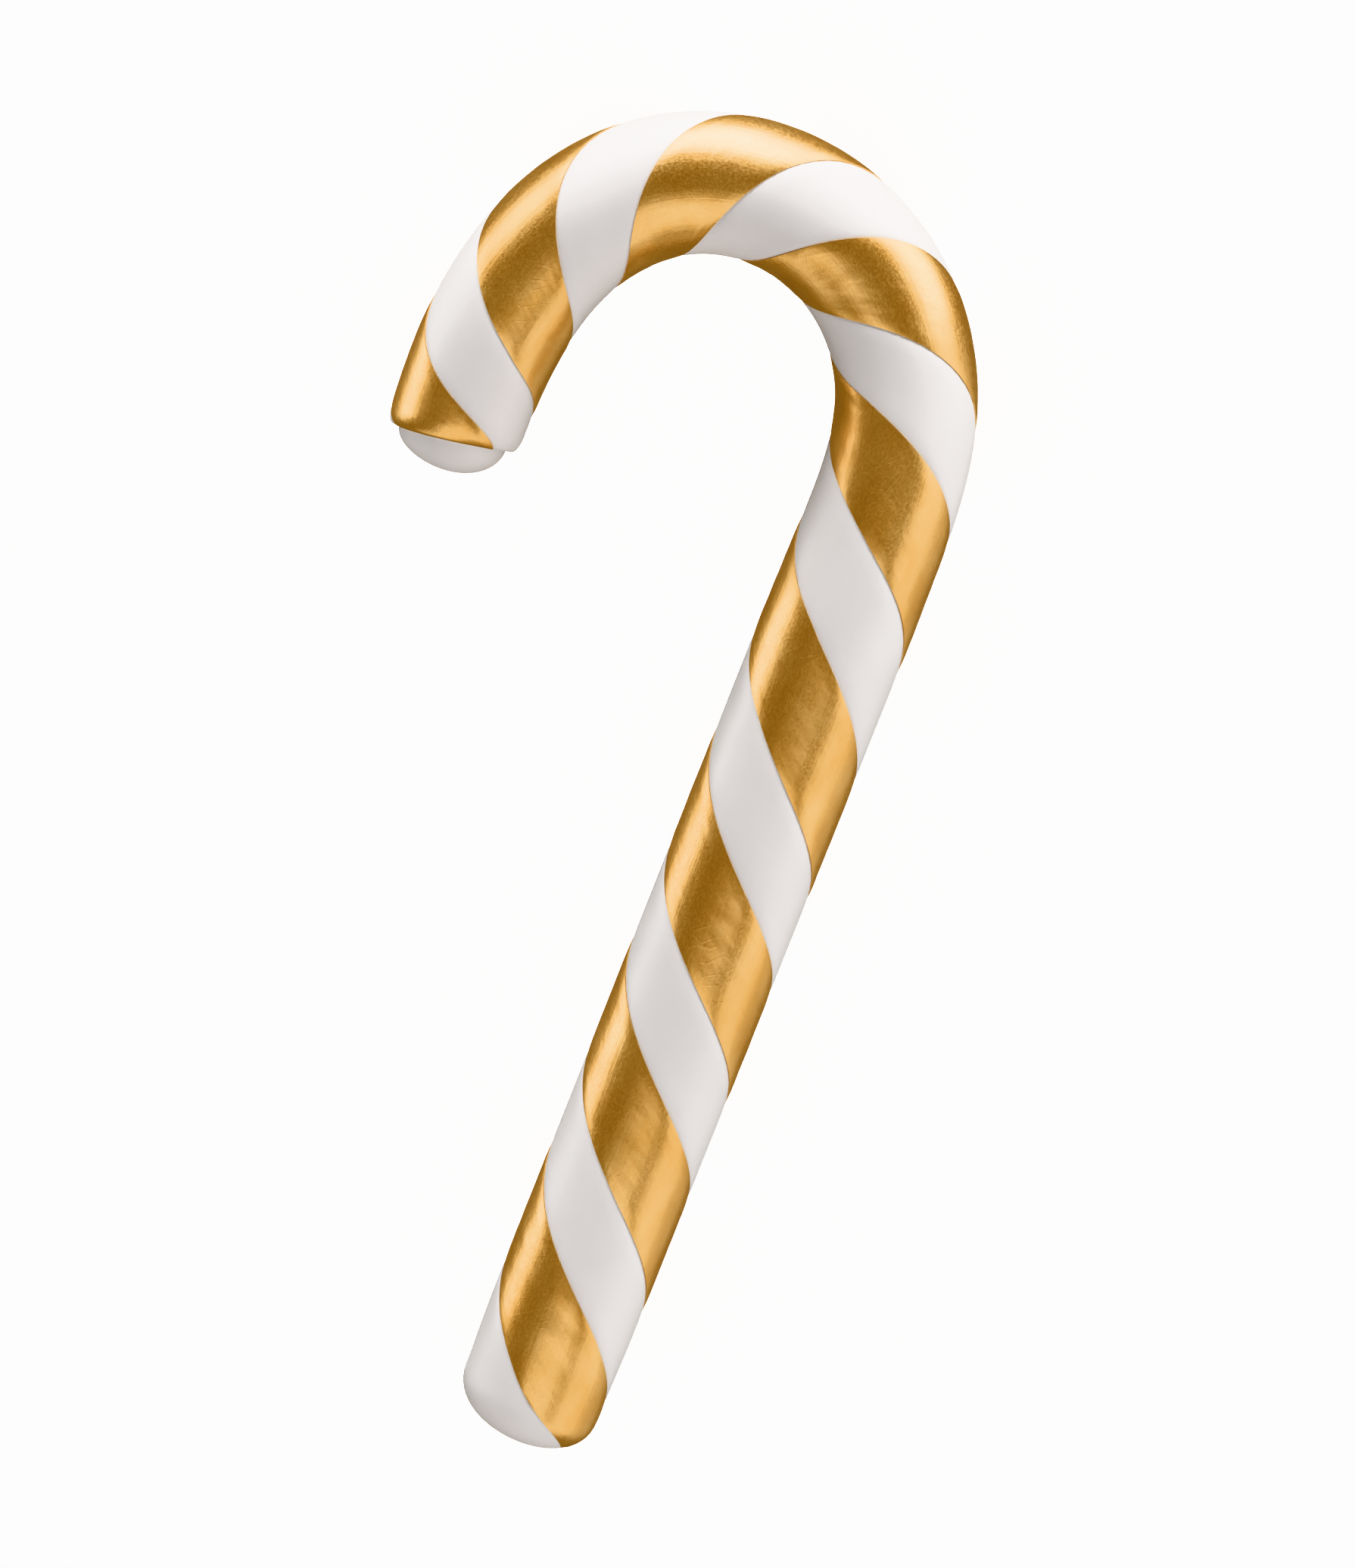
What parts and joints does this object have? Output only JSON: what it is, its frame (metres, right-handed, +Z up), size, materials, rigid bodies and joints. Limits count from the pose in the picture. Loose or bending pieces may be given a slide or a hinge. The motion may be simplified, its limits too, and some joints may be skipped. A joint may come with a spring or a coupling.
{
  "type": "candy cane",
  "caption": "Solid sugar candy cane: a thick round white stick bent to a crook at one end, with broad gold stripes spiralling along it from end to end; it lies flat.",
  "frame": {"origin": "on the resting surface, under the middle of the cane's outline as it lies flat", "axes": "+Y along the straight stem from its foot to the crown of the crook, +Z up out of the flat that the cane lies on, -X the way the crook curls"},
  "size_m": [0.0616, 0.145, 0.016],
  "materials": {
    "sugar": "smooth satin pulled sugar, opaque white",
    "gold_leaf": "satin edible gold leaf with fine crinkles, over sugar"
  },
  "bodies": {
    "root": {"white_sugar": "sugar", "gold_strand_1": "gold_leaf", "gold_strand_2": "gold_leaf"}
  },
  "joints": []
}
